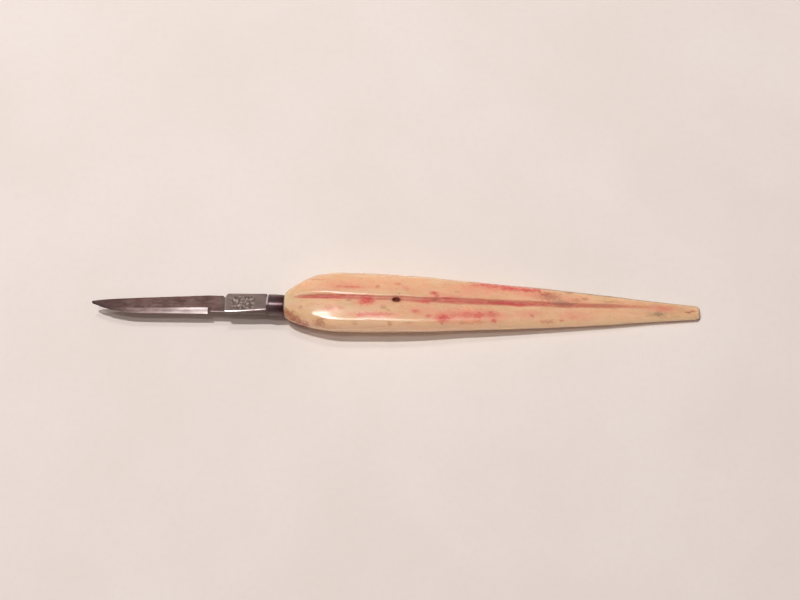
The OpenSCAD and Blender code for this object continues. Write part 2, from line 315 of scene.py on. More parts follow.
def soften(rings, blur, first, last):
    """Blurs each ring by blur mm along its length, then samples it closely between two of its points."""
    chosen = np.empty((len(rings), 2 * SIDE_POINTS + TOP_POINTS, 2))
    for i, ring in enumerate(rings):
        closed = np.concatenate([ring, ring[:1]])
        run = np.concatenate([[0], np.cumsum(np.hypot(*np.diff(closed, axis=0).T))])
        total = run[-1]
        even = np.linspace(0, total, BLUR_POINTS, endpoint=False)
        wave = np.fft.rfft(np.stack([np.interp(even, run, closed[:, k]) for k in (0, 1)]))
        pitch = np.arange(wave.shape[1]) / total
        smooth = np.fft.irfft(wave * np.exp(-2 * (math.pi * pitch * blur[i]) ** 2), BLUR_POINTS)
        left, right = run[first], run[last]
        want = np.concatenate([
            np.linspace(0, left, SIDE_POINTS, endpoint=False),
            np.linspace(left, right, TOP_POINTS, endpoint=False),
            np.linspace(right, total, SIDE_POINTS, endpoint=False),
        ])
        padded = np.concatenate([even, [total]])
        for k in (0, 1):
            chosen[i, :, k] = np.interp(want, padded, np.append(smooth[k], smooth[k][0]))
    return chosen


def handle_stations():
    """Distances from the nose, close together at the nose, the canal and the tail."""

    def spacing(s):
        near_canal = np.abs(s - CANAL_X) < 2.6
        gap = np.where(s < 9, 0.15, 0.27)
        gap = np.where(near_canal, 0.085, gap)
        return np.where(s > HANDLE_LENGTH - 1.6, 0.09, gap)

    return spaced(HANDLE_LENGTH - 0.01, spacing)


def groove_depth_at(s, y, u):
    """How far the natural groove lies below the top face: a shallow dish with a trough in it."""
    place = np.stack([s, np.zeros_like(s), np.zeros_like(s)], -1)
    wander = 0.05 * ripple(place, (9, 1, 1), 11) * ease((u - 0.16) / 0.1)
    half = follow(GROOVE_HALF, u) * (1 + 0.05 * ripple(place, (7, 1, 1), 12))
    deep = np.maximum(follow(GROOVE_DEEP, u), 0) * (1 + 0.07 * ripple(place, (8, 1, 1), 13))
    across = (y + handle_middle(s) - follow(GROOVE_MIDDLE, u) - wander) / half
    dish = np.exp(-((across / 0.80) ** 2))
    dished = straight([(0, 0.85), (0.07, 0.75), (0.12, 0.50), (0.24, 0.18), (1, 0.18)], u)
    broad = straight([(0, 0.42), (0.2, 0.45), (0.3, 0.62), (1, 0.62)], u)
    trough = np.exp(-(((across + 0.10) / broad) ** 4))
    return deep * mix(trough, dish, dished), across


def canal_depth_at(s, y, u):
    """The opening of the natural canal: a steep wall towards the nose and a ramp towards the tail."""
    along = (s - CANAL_X) / CANAL_HALF_LENGTH
    across = (y - follow(GROOVE_MIDDLE, u) + CANAL_BESIDE) / CANAL_HALF_WIDTH
    reach = np.sqrt(along**2 + across**2)
    ramp = mix(1.0, 0.35, ease((along - across * 0.6 + 0.3) / 1.3))
    return CANAL_DEPTH * ramp * (1 - ease((reach - 0.62) / 0.42)), reach


# Stains of the upper side: distance from the nose, place across (see stain_across), half length,
# half width, strength. Many of the places are rounded from a separate script that carried points picked
# in the photo onto this model; the other numbers were chosen by eye.
RED_SPOTS = [
    (22.4, 1.9, 1.8, 0.95, 1.0), (21.3, 1.3, 1.3, 0.6, 0.6), (20.6, -2.0, 1.8, 0.45, 0.55),
    (24.4, -1.8, 3.0, 0.40, 0.45), (28.0, -1.6, 1.2, 0.35, 0.4), (15.0, 5.45, 1.1, 0.30, 0.5),
    (18.4, 5.35, 2.6, 0.35, 0.65), (37.7, 1.75, 1.7, 0.45, 0.9), (35.2, -0.7, 1.1, 0.45, 0.7),
    (38.7, -1.85, 0.9, 0.45, 0.65), (40.0, 4.2, 0.9, 0.45, 1.0), (40.9, 3.5, 0.7, 0.45, 0.8),
    (43.7, 2.95, 1.2, 0.40, 0.7), (42.8, -2.3, 1.8, 0.95, 1.0), (42.4, -3.6, 0.55, 0.55, 0.55),
    (49.2, -1.30, 2.6, 0.70, 0.55), (52.2, -1.50, 1.7, 0.75, 0.85), (55.7, -1.2, 1.9, 0.80, 0.70),
    (56.4, -2.8, 0.8, 0.60, 0.9), (46.6, -1.5, 2.0, 0.55, 0.40), (54.0, 6.85, 4.2, 0.50, 0.95),
    (58.0, 6.4, 3.4, 0.45, 0.85), (61.0, 5.85, 2.4, 0.55, 0.90), (65.6, 5.55, 4.0, 0.55, 0.95),
    (70.3, 4.5, 1.4, 0.45, 0.45), (77.8, -1.45, 1.2, 0.70, 0.22), (74.8, -2.45, 0.5, 0.35, 0.45),
    (103.1, 1.4, 2.2, 0.70, 0.28), (66.7, -1.25, 0.8, 0.40, 0.45), (30.5, 6.4, 0.8, 0.35, 0.6),
    (32.8, 5.2, 0.9, 0.60, 0.35), (12.3, -0.4, 1.1, 0.60, 0.35), (15.5, -0.2, 0.9, 0.50, 0.3),
    (26.6, 0.3, 0.8, 0.30, 0.35), (59.4, 1.9, 2.6, 0.40, 0.7), (62.9, 1.45, 1.3, 0.40, 0.6),
    (109.6, 0.5, 1.2, 0.30, 0.7), (110.8, 0.8, 0.8, 0.25, 0.5), (2.6, -3.7, 1.5, 0.40, 0.7),
    (4.2, -4.8, 1.5, 0.45, 0.8), (5.6, -5.5, 1.2, 0.40, 0.6),
]
PINK_SPOTS = [
    (49.0, -1.6, 10.5, 2.0, 0.65), (22.2, 1.7, 3.4, 1.4, 0.60), (24.5, -1.9, 6.5, 0.9, 0.70),
    (60, 6.1, 12.0, 0.9, 0.75), (42.5, -2.3, 3.6, 1.5, 0.65), (68, 4.6, 6.0, 1.0, 0.35),
    (38.0, -0.6, 5.5, 1.7, 0.35), (43, 3.2, 5.0, 1.0, 0.35), (66, -0.8, 4.5, 1.0, 0.35),
    (16, 5.6, 6.0, 1.2, 0.35), (77, 2.9, 5.0, 1.3, 0.35), (102, 1.2, 4.5, 1.0, 0.40),
    (12.0, 4.2, 5.0, 0.8, 0.30), (56.5, -1.6, 5.5, 1.4, 0.40), (79, -1.2, 5.5, 1.4, 0.30),
    (92, 2.4, 7, 0.9, 0.22), (70, -2.6, 3.0, 0.8, 0.3), (71.5, 3.4, 4.5, 1.3, 0.45),
    (51, 5.2, 6.0, 1.2, 0.30), (13.5, -0.4, 2.5, 1.2, 0.30), (31, 2.0, 5.5, 1.4, 0.25),
]
BROWN_SPOTS = [
    (25.1, 5.65, 0.5, 0.40, 0.6), (26.9, 0.0, 0.8, 0.50, 0.35), (28.0, -0.6, 0.5, 0.30, 0.45),
    (40.3, 2.35, 0.9, 0.35, 0.8), (70.6, 4.35, 1.6, 0.40, 0.5), (66.7, -1.3, 0.5, 0.30, 0.4),
    (71.0, -2.95, 1.8, 0.40, 0.5), (81.2, 3.45, 1.0, 0.40, 0.6), (76.9, 5.0, 0.9, 0.28, 0.8),
    (74.8, -2.5, 0.6, 0.35, 0.4), (109.5, 0.4, 0.9, 0.25, 0.8), (110.8, 0.75, 0.9, 0.20, 0.6),
    (0.4, -1.6, 1.5, 1.00, 1.0), (1.6, -2.4, 1.7, 1.00, 1.0), (2.8, -3.3, 1.7, 1.00, 1.0),
    (4.0, -4.3, 1.7, 1.00, 1.0), (5.4, -5.2, 1.6, 0.85, 1.0), (9.9, -4.5, 1.9, 1.3, 0.75),
    (4.7, -0.35, 0.6, 0.50, 0.5), (12.5, -5.5, 2.6, 0.60, 0.3), (28.6, -4.2, 0.7, 0.60, 0.5),
    (19.3, -4.4, 0.8, 0.40, 0.35), (48.6, -3.6, 2.4, 0.40, 0.35), (52.3, -3.3, 1.8, 0.35, 0.35),
    (88, 2.8, 2.5, 0.30, 0.35), (17.5, 1.85, 0.8, 0.30, 0.6), (16.0, 3.0, 0.9, 0.28, 0.6),
    (8.5, 7.2, 2.2, 0.25, 0.4), (55.4, 1.9, 1.4, 0.30, 0.4), (46.4, 4.6, 0.8, 0.25, 0.4),
    (103, 0.9, 11, 2.4, 0.13), (33.5, -3.9, 1.5, 0.40, 0.3), (71.5, 4.0, 3.2, 1.1, 0.42),
    (75.5, 1.9, 4.5, 0.75, 0.55), (84, 1.6, 8.0, 0.45, 0.32), (78.8, 3.0, 1.6, 0.5, 0.4),
]
GREY_SPOTS = [
    (101.4, -0.3, 1.9, 0.60, 0.8), (74.3, 2.7, 1.7, 0.40, 0.45), (99.4, -0.5, 1.2, 0.60, 0.3),
    (75.5, 2.0, 3.2, 0.60, 0.30), (71.5, 3.9, 3.4, 1.1, 0.22),
]
PEACH_SPOTS = [
    (24, 6.5, 20, 2.6, 0.8), (52, 4.8, 20, 1.8, 0.7), (10.3, 7.6, 3.6, 0.4, 0.9),
    (86, -0.4, 14, 1.8, 0.5), (48, -1.2, 12, 1.4, 0.35),
]
# Fraction of the length, how red the groove is
GROOVE_RED = [
    (0, 0), (0.021, 0), (0.036, 0.5), (0.055, 0.9), (0.13, 1), (0.145, 0.75), (0.19, 0.60),
    (0.22, 0.40), (0.29, 0.42), (0.34, 0.70), (0.40, 0.75), (0.46, 0.80), (0.52, 1), (0.57, 0.95),
    (0.60, 0.72), (0.66, 0.50), (0.72, 0.52), (0.78, 0.50), (0.84, 0.32), (0.9, 0.1), (1, 0),
]


def stain_across(rings):
    """Place across the upper side: mostly y, with some of the height so that it runs down the side."""
    return ACROSS_SHARE * rings[..., 1] + HEIGHT_SHARE * rings[..., 2]


def spots(rows, s, across, warp):
    """Sum of soft oval stains with uneven outlines, from 0 to 1."""
    total = np.zeros_like(s)
    for k, (place, side, length, width, strength) in enumerate(rows):
        along = (s - place) / length + 0.14 * warp[k % 2]
        over = (across - side) / width + 0.20 * warp[(k + 1) % 2]
        spread = along**2 + over**2
        near = spread < 9
        total[near] = np.maximum(total[near], strength * np.exp(-spread[near] ** 1.5))
    return total


def scraped(s, y, z):
    """The gentle unevenness of hand-scraped bone, fading out at both ends."""
    shape = np.stack([s, y, z], -1)
    swell = 1 + 0.0045 * ripple(shape, (16, 9, 9), 5) + 0.0018 * ripple(shape, (5, 3.5, 3.5), 6)
    centre = (z.max(1) + z.min(1))[:, None] / 2
    swell = mix(1, swell, ease(s / 3) * ease((HANDLE_LENGTH - s) / 3))
    return y * swell, centre + (z - centre) * swell


def handle_form():
    """The handle's outer skin, with what its stains need to know about each of its points."""
    stations = handle_stations()
    crisp, steps = crisp_rings(stations)
    plain = soften(crisp, straight(SOFTNESS, stations / HANDLE_LENGTH), steps, 2 * steps)
    count, around = plain.shape[:2]
    s = np.repeat(stations[:, None], around, 1)
    u = s / HANDLE_LENGTH
    y, z = scraped(s, plain[..., 0], plain[..., 1])

    groove, groove_across = groove_depth_at(s, y, u)
    canal, canal_reach = canal_depth_at(s, y, u)
    on_top = np.zeros((count, around))
    on_top[:, SIDE_POINTS:SIDE_POINTS + TOP_POINTS] = 1
    deepest = 0.5 * z.max(1)[:, None]
    z = z - on_top * np.minimum(groove + canal, deepest)

    z = 0.5 * (z + np.sqrt(z**2 + FLAT_ROUND**2))
    rings = np.stack([NOSE_X + s, y + handle_middle(s), z - z.min()], -1)
    return SimpleNamespace(
        rings=rings, s=s, u=u, z=z, plain=plain, on_top=on_top, groove_across=groove_across,
        canal_reach=canal_reach,
    )


def bore_rings(plain):
    """Rings of the tang's bore, from its blind end to the nose, on the same count of points."""
    turn = np.arctan2(plain[0, :, 0], AXIS_Z - plain[0, :, 1])
    bore = np.stack([
        np.zeros_like(turn), AXIS_Y + BORE_RADIUS * np.sin(turn), AXIS_Z - BORE_RADIUS * np.cos(turn)
    ], -1)
    return np.stack([bore + [NOSE_X + BORE_DEPTH * t, 0, 0] for t in BORE_STEPS])


def handle_stains(form):
    """How strong each kind of stain is at each point of the outer skin."""
    s, u, rings, on_top = form.s, form.u, form.rings, form.on_top
    aside = form.plain[..., 0]
    sideways = aside / aside.max(1)[:, None]
    rise = form.z / form.z.max(1)[:, None]
    upper = np.where(aside > 0, ease((rise - 0.50) / 0.25), ease((rise - 0.22) / 0.15))
    nose_side = ease((8 - s) / 2) * (aside < 0)

    lateral = stain_across(rings)
    warp = [ripple(rings, (1.6, 0.9, 0.9), 21), ripple(rings, (1.1, 0.7, 0.7), 22)]
    red = spots(RED_SPOTS, s, lateral, warp) * upper
    pink = spots(PINK_SPOTS, s, lateral, warp) * upper
    brown = spots(BROWN_SPOTS, s, lateral, warp) * np.maximum(upper, nose_side)
    grey = spots(GREY_SPOTS, s, lateral, warp) * upper
    peach = spots(PEACH_SPOTS, s, lateral, [0.3 * w for w in warp]) * upper

    # the red that runs along the groove, weaker on its lower side
    reach = straight([(0, 0.60), (0.2, 0.70), (0.3, 0.92), (1, 0.92)], u)
    in_groove = on_top * np.exp(-(((form.groove_across + 0.12) / reach) ** 6))
    streak = 0.92 + 0.14 * ripple(rings, (3.4, 0.5, 9), 23)
    shaded = mix(1.0, 0.72, ease((form.groove_across + 0.45) / 0.9))
    groove_red = straight(GROOVE_RED, u) * in_groove * np.clip(streak, 0.4, 1) * shaded
    hole = on_top * (1 - ease((form.canal_reach - 0.75) / 0.4))
    rim = on_top * np.exp(-(((form.canal_reach - 1.05) / 0.35) ** 2))

    # grey at the two ends and along the tail's far edge
    end_grey = ease((s - (HANDLE_LENGTH - 1.0)) / 0.8) + 0.6 * ease((0.35 - s) / 0.35)
    end_grey = end_grey + ease((sideways - 0.80) / 0.12) * ease((u - 0.50) / 0.2)

    # the same kinds of stain, less strong and by chance, round the sides and underneath
    hidden = 1 - upper
    blot = ripple(rings, (5, 2.2, 2.2), 24)
    red = np.maximum(red, hidden * 0.45 * ease((blot - 1.1) / 0.9))
    brown = np.maximum(brown, hidden * 0.35 * ease((-blot - 0.8) / 0.9))
    # The front side's tint isn't a stain: it is painted light, a lighter tint that lifts the front side
    # where the lamps leave it darker
    return {
        "red_stain": red,
        "groove_red": groove_red,
        "pink_stain": pink,
        "brown_stain": np.maximum(brown, 0.45 * rim),
        "grey_stain": np.maximum(grey, 0.8 * np.clip(end_grey, 0, 1)),
        "peach_tone": peach,
        "dark_hole": hole,
        "front_side_painted_light": ease((-sideways - 0.72) / 0.12),
        "groove_dirt": in_groove * ease(follow(GROOVE_DEEP, u) / 0.2),
    }


def make_handle():
    form = handle_form()
    bore = bore_rings(form.plain)
    piece = ring_mesh("handle_bone", np.concatenate([bore, form.rings]), sharp=50)
    for name, values in handle_stains(form).items():
        in_bore = np.full(bore.shape[:2], 0.8 if name == "brown_stain" else 0.0)
        paint(piece, name, np.concatenate([in_bore, values]))
    return piece


# ---------------------------------------------------------------- blade
# Lengths along X, from the tip
EDGE_LENGTH = 31.4
NECK_LENGTH = 4.7
HEEL_X = TIP_X + EDGE_LENGTH
RICASSO_X = HEEL_X + NECK_LENGTH
RICASSO_LENGTH = COLLAR_X - RICASSO_X
BLADE_LENGTH = COLLAR_X - TIP_X
CHOIL_LENGTH = 0.7
STEP_RUN = 0.12

# Blade seen from above, in y from the bolster's axis
SPINE_HEEL = 2.25
SPINE_DROP = 0.056
SPINE_TIP_DROP = 0.4
EDGE_AT_HEEL = -2.82
EDGE_LOWEST = -3.02
EDGE_AT_TIP = -0.58
BELLY_STARTS = 0.58
BELLY_CURVE = 2.2
BEVEL_HEEL = -1.12
BEVEL_TIP = -1.91
CHOIL_TOP = -1.7
NECK_EDGE = -2.3
NOTCH_HALF = 0.75
NOTCH_DEPTH = 0.6
RICASSO_SPINE = 2.50
RICASSO_RISE = 0.22
RICASSO_EDGE = -2.6
RICASSO_CORNER = 1.2

# Half thicknesses, and the small shapes of the faces
HEEL_HALF = 0.3
TIP_HALF = 0.17
EDGE_HALF = 0.03
CHOIL_WEB = 0.06
RICASSO_HALF = 1.75
HOLLOW_GROUND = 0.12
SHOULDER_DEPTH, SHOULDER_WIDTH = 0.006, 0.07
FACET_SLOPE = 0.15
THINNEST = 0.02
TANG_RADIUS = 1.4
TANG_END_HALF = 0.6

ACROSS = 84


def blade_stations():
    """Distances from the tip, close together at the tip, heel, notch and ricasso."""
    heel, ricasso = EDGE_LENGTH, EDGE_LENGTH + NECK_LENGTH

    def spacing(s):
        gap = np.full_like(s, 0.24)
        gap = np.where(s < 3, 0.07, gap)
        for place in (heel, heel + CHOIL_LENGTH, ricasso):
            gap = np.where(np.abs(s - place) < 0.5, 0.035, gap)
        gap = np.where((s > ricasso - 1.2) & (s < ricasso + 1.5), 0.05, gap)
        return np.where(s > ricasso + 1.5, 0.11, gap)

    return spaced(BLADE_LENGTH, spacing)


def blade_outline(s):
    """For each distance from the tip: edge line, spine line, half thickness, bevel's top line, block."""
    on_blade = s <= EDGE_LENGTH
    t = np.clip(1 - s / EDGE_LENGTH, 0, 1)
    spine = SPINE_HEEL - SPINE_DROP * EDGE_LENGTH * t - SPINE_TIP_DROP * t**8
    straight_edge = mix(EDGE_AT_HEEL, EDGE_LOWEST, np.clip(t / BELLY_STARTS, 0, 1))
    up_belly = np.clip((t - BELLY_STARTS) / (1 - BELLY_STARTS), 0, 1) ** BELLY_CURVE
    edge = np.where(t < BELLY_STARTS, straight_edge, mix(EDGE_LOWEST, EDGE_AT_TIP, up_belly))
    half = mix(HEEL_HALF, TIP_HALF, t)
    bevel = np.maximum(mix(BEVEL_HEEL, BEVEL_TIP, t), edge + 0.2)
    spine = np.maximum(spine, bevel + 0.1)

    past = s - EDGE_LENGTH
    into_neck = ease(past / STEP_RUN)
    into_block = ease((past - NECK_LENGTH) / STEP_RUN)
    along = np.clip(past - NECK_LENGTH, 0, None)
    corner = np.clip(RICASSO_CORNER - along, 0, RICASSO_CORNER)
    corner_drop = RICASSO_CORNER - np.sqrt(np.maximum(RICASSO_CORNER**2 - corner**2, 0))
    block_spine = RICASSO_SPINE + RICASSO_RISE * along / RICASSO_LENGTH - 0.85 * corner_drop
    notch = NOTCH_DEPTH * np.clip(1 - np.abs(past - NECK_LENGTH) / NOTCH_HALF, 0, 1)

    edge = np.where(on_blade, edge, mix(mix(edge, NECK_EDGE, into_neck), RICASSO_EDGE, into_block))
    spine = np.where(on_blade, spine, mix(SPINE_HEEL, block_spine, into_block)) - notch
    half = np.where(on_blade, half, mix(HEEL_HALF, RICASSO_HALF, into_block))
    bevel = np.where(on_blade, bevel, edge)
    return edge, spine, half, bevel, into_block


def rounded_off(height, corner, run):
    """Takes a round of radius corner off a face at the distance run from its rim."""
    inside = np.clip(corner - run, 0, None)
    safe = np.maximum(corner, 1e-6)
    drop = safe - np.sqrt(np.maximum(safe**2 - np.minimum(inside, safe) ** 2, 0))
    return height - np.minimum(drop, 0.85 * height)


def blade_faces():
    """Places across the blade and half heights there, with what its material needs to know."""
    s = blade_stations()
    edge, spine, half, bevel, block = (v[:, None] for v in blade_outline(s))
    q = np.linspace(0, 1, ACROSS)[None]
    y = mix(edge, spine, 0.5 * q + 0.5 * q**1.7)

    # hollow-ground bevel between its shoulder and the edge
    reach = np.clip((bevel - y) / np.maximum(bevel - edge, 1e-6), 0, 1)
    hollow = reach + HOLLOW_GROUND * reach * (1 - reach)
    fade = 1 - ease((s[:, None] - EDGE_LENGTH) / STEP_RUN)
    bevelled = half - (half - EDGE_HALF) * hollow
    height = mix(half, bevelled, fade * (y < bevel))
    height = height - SHOULDER_DEPTH * np.exp(-(((y - bevel) / SHOULDER_WIDTH) ** 2)) * fade

    # nick between the bevel and the neck, filed in from both faces down to a thin web
    past = s[:, None] - EDGE_LENGTH
    in_nick = ease((past - 0.06) / STEP_RUN)
    in_nick = in_nick * (1 - ease((past - CHOIL_LENGTH + STEP_RUN) / STEP_RUN))
    in_nick = in_nick * (1 - ease((y - CHOIL_TOP) / 0.10))
    height = mix(height, CHOIL_WEB, in_nick)

    # worn corners: small on the blade, larger where the ricasso runs into the round bolster
    along = np.clip((past - NECK_LENGTH) / RICASSO_LENGTH, 0, 1)
    low_corner = mix(0.06, mix(0.10, 0.95, along**1.6), block) * (1 - fade)
    top_corner = mix(0.12, mix(0.20, 0.32, along**2), block)
    from_low = y - edge
    height = rounded_off(height, low_corner, from_low)
    height = rounded_off(height, top_corner, spine - y)
    # narrow worn facet along the lower edge of the neck and the ricasso
    facet = low_corner + mix(0.20, mix(0.30, 0.22, along), block) * (1 - fade) * (1 - in_nick)
    height = height - FACET_SLOPE * np.clip(facet - from_low, 0, None)
    # painted highlight along the facet, strongest at the front of the ricasso
    facet_highlight = ease((facet - from_low) / 0.08) * ease((from_low - low_corner) / 0.10 + 0.8)
    facet_highlight = facet_highlight * mix(0.35, mix(1.0, 0.5, along), block)
    return SimpleNamespace(
        s=s[:, None], y=y, height=np.maximum(height, THINNEST), edge=edge, bevel=bevel, block=block,
        along=along, facet_highlight=facet_highlight, in_nick=in_nick,
    )


def mark_relief(x, y):
    """A worn, shallow impression with no figure or letter: a few broken scratches and pits."""
    place = np.stack([x, y, np.zeros_like(x)], -1)
    pits = ripple(place, (1.3, 1.0, 1), 31)
    lines = ripple(place, (0.8, 1.8, 1), 32)
    return 0.080 * ease((pits - 0.2) / 0.7) + 0.050 * ease((lines - 0.4) / 0.6)


def mark_window(face):
    """Where on the ricasso's face the worn mark lies."""
    window = ease((face.along - 0.10) / 0.12) * (1 - ease((face.along - 0.66) / 0.10))
    return window * ease((face.y + 1.9) / 0.5) * (1 - ease((face.y - 1.5) / 0.5)) * face.block


def tang_sections():
    """The hidden tang behind the ricasso as (x, y, z) rows, on the same count of points."""
    turn = np.linspace(math.pi, 0, ACROSS)
    stations = (
        (COLLAR_X, TANG_RADIUS), (NOSE_X - 0.1, TANG_RADIUS), (NOSE_X, 1.2),
        (TANG_END_X - 0.3, TANG_END_HALF + 0.1), (TANG_END_X, TANG_END_HALF),
    )
    rows = [(np.full(ACROSS, x), radius * np.cos(turn), radius * np.sin(turn)) for x, radius in stations]
    return tuple(np.stack(v) for v in zip(*rows))


def blade_wear(face, window, relief):
    """How bright, worn or dark the steel is at each point of the blade's faces, painted highlights
    included.
    """
    s, along, block = face.s, face.along, face.block
    # the bevel's polish with a painted highlight: brightest along the edge and the shoulder, duller
    # between them and towards the tip
    is_bevel = (face.y < face.bevel - 0.02) & (s <= EDGE_LENGTH + 0.02)
    down = (face.bevel - face.y) / np.maximum(face.bevel - face.edge, 0.01)
    polish_and_highlight = 1 - 0.35 * np.exp(-(((down - 0.5) / 0.22) ** 2))
    polish_and_highlight = is_bevel * polish_and_highlight * mix(0.12, 1.0, (s / EDGE_LENGTH) ** 2.2)
    behind_bevel = ease((s - EDGE_LENGTH - CHOIL_LENGTH) / 0.1)

    from_step = s - EDGE_LENGTH - NECK_LENGTH
    # wear and painted highlight: lighter at the ricasso's front step and along its top edge, most at the
    # front
    step_wear_and_highlight = block * np.exp(-((from_step / 0.32) ** 2))
    top_wear_and_highlight = block * np.exp(-(((RICASSO_SPINE - face.y) / 0.22) ** 2)) * (1 - 0.8 * along)
    neck_dark = ease((from_step + 1.9) / 1.2) * (1 - block)
    neck_dark = neck_dark + 0.45 * (block * ease((along - 0.5) / 0.35))
    return {
        # the facet's painted highlight is stored above full polish
        "polish_and_highlight": np.maximum(polish_and_highlight, 1.5 * face.facet_highlight * behind_bevel),
        "block": block,
        "mark": relief / 0.13,
        "mark_zone": window,
        "tip_dark": 1 - ease(s / 16.0),
        "edge_wear_and_highlight": np.maximum(step_wear_and_highlight, top_wear_and_highlight),
        # painted shade: the nick's thin web is darkened
        "neck_dark": np.maximum(neck_dark, 1.5 * face.in_nick),
    }


def make_blade():
    face = blade_faces()
    x = np.repeat(TIP_X + face.s, ACROSS, 1)
    window = mark_window(face)
    relief = mark_relief(x, face.y) * window
    wave = 0.006 * ripple(np.stack([x, face.y, 0 * x], -1), (7, 3, 1), 33)
    wave = wave * np.clip(face.height / HEEL_HALF, 0, 1) * np.where(face.block > 0.5, 1.0, 0.6)
    tang_x, tang_y, tang_z = tang_sections()
    x, y = np.concatenate([x, tang_x]), np.concatenate([face.y, tang_y])
    over = np.concatenate([face.height + wave - relief, tang_z])
    under = np.concatenate([-(face.height + wave), -tang_z])

    upper = np.stack([x, AXIS_Y + y, AXIS_Z + over], -1)
    lower = np.stack([x, AXIS_Y + y, AXIS_Z + under], -1)[:, ::-1]
    rings = np.concatenate([upper, lower], 1)
    # the ring runs from edge to spine on top and back below, so it is turned over to face outwards
    piece = ring_mesh("blade_steel", rings[:, ::-1], sharp=28)

    for name, values in blade_wear(face, window, relief).items():
        one_side = np.zeros_like(y)
        one_side[:len(face.s)] = values
        paint(piece, name, np.concatenate([one_side, one_side[:, ::-1]], 1)[:, ::-1])
    return piece


# ---------------------------------------------------------------- bolster
COLLAR_BORE = 1.4
COLLAR_FACE = 2.35
COLLAR_ROUND = 0.9
COLLAR_TAPER = 0.16
COLLAR_TURN_POINTS = 180


def make_collar():
    length = COLLAR_HIGH[0] - COLLAR_X
    radius = COLLAR_RADIUS
    rim = [(COLLAR_ROUND * (1 - math.cos(a)), mix(COLLAR_FACE, radius, math.sin(a)))
           for a in np.linspace(0, math.pi / 2, 14)]
    past_rim = length - COLLAR_ROUND
    body = [(t, mix(radius, radius - COLLAR_TAPER, ((t - COLLAR_ROUND) / past_rim) ** 1.4))
            for t in np.linspace(COLLAR_ROUND, length - 0.12, 26)[1:]]
    back = [(length - 0.05, radius - 0.20), (length, radius - 0.27)]
    profile = [(length, COLLAR_BORE), (0, COLLAR_BORE)] + rim + body + back
    turn = np.linspace(0, 2 * math.pi, COLLAR_TURN_POINTS, endpoint=False)
    rings = np.array([
        [[COLLAR_X + t, AXIS_Y + r * math.sin(a), AXIS_Z - r * math.cos(a)] for a in turn]
        for t, r in profile
    ])
    piece = lathe("bolster_collar", rings, sharp=35)

    along = rings[..., 0] - COLLAR_X
    across = ACROSS_SHARE * (rings[..., 1] - AXIS_Y) + HEIGHT_SHARE * (rings[..., 2] - AXIS_Z)
    # painted, not reflected: a lighter colour on the side where the photo shows the rim's highlight
    store(piece, "rim_light", (1 - ease((along - 0.35) / 0.35)) * ease((across + 0.2) / 0.5))
    store(piece, "rear", ease((along - 0.45 * length) / (0.5 * length)))
    return piece


# ---------------------------------------------------------------- materials
class Look:
    """A node material with short calls for the nodes it needs."""

    def __init__(self, name):
        self.material = bpy.data.materials.new(name)
        self.material.use_nodes = True
        self.tree = self.material.node_tree
        self.tree.nodes.clear()
        self.shader = self.tree.nodes.new("ShaderNodeBsdfPrincipled")
        out = self.tree.nodes.new("ShaderNodeOutputMaterial")
        self.tree.links.new(self.shader.outputs["BSDF"], out.inputs["Surface"])
        place = self.tree.nodes.new("ShaderNodeTexCoord")
        self.object_place = place.outputs["Object"]

    def set(self, socket, value):
        target = socket if not isinstance(socket, str) else self.shader.inputs[socket]
        if isinstance(value, bpy.types.NodeSocket):
            self.tree.links.new(value, target)
        else:
            target.default_value = value

    def stretched(self, per_mm):
        """Object coordinates scaled so that one unit is 1 / per_mm millimetres along each axis."""
        node = self.tree.nodes.new("ShaderNodeMapping")
        node.inputs["Scale"].default_value = [v / MM for v in per_mm]
        self.tree.links.new(self.object_place, node.inputs["Vector"])
        return node.outputs["Vector"]

    def noise(self, per_mm, detail=3.0, rough=0.55):
        node = self.tree.nodes.new("ShaderNodeTexNoise")
        node.inputs["Scale"].default_value = 1.0
        node.inputs["Detail"].default_value = detail
        node.inputs["Roughness"].default_value = rough
        self.tree.links.new(self.stretched(per_mm), node.inputs["Vector"])
        return node.outputs["Fac"]

    def attribute(self, name):
        node = self.tree.nodes.new("ShaderNodeAttribute")
        node.attribute_name = name
        return node.outputs["Fac"]

    def ramp(self, value, low, high, out_low=0.0, out_high=1.0):
        node = self.tree.nodes.new("ShaderNodeMapRange")
        node.interpolation_type = "SMOOTHSTEP"
        for key, v in zip(("From Min", "From Max", "To Min", "To Max"), (low, high, out_low, out_high)):
            node.inputs[key].default_value = v
        self.tree.links.new(value, node.inputs["Value"])
        return node.outputs["Result"]

    def maths(self, kind, a, b=0.0, clamp=False):
        node = self.tree.nodes.new("ShaderNodeMath")
        node.operation = kind
        node.use_clamp = clamp
        for i, v in enumerate((a, b)):
            self.set(node.inputs[i], v)
        return node.outputs[0]

    def times(self, a, b, clamp=False):
        return self.maths("MULTIPLY", a, b, clamp)

    def painted(self, name, share=1.0, clamp=False):
        """An attribute that was painted on the piece, times a number or another value."""
        return self.times(self.attribute(name), share, clamp)

    def blend(self, fac, a, b):
        node = self.tree.nodes.new("ShaderNodeMix")
        node.data_type = "RGBA"
        for key, v in (("Factor_Float", fac), ("A_Color", a), ("B_Color", b)):
            self.set(next(i for i in node.inputs if i.identifier == key), v)
        return next(o for o in node.outputs if o.identifier == "Result_Color")

    def bump(self, height, strength, distance_mm, under=None):
        node = self.tree.nodes.new("ShaderNodeBump")
        node.inputs["Strength"].default_value = strength
        node.inputs["Distance"].default_value = distance_mm * MM
        self.tree.links.new(height, node.inputs["Height"])
        if under is not None:
            self.tree.links.new(under, node.inputs["Normal"])
        return node.outputs["Normal"]


def rgb(r, g, b):
    return (r, g, b, 1.0)


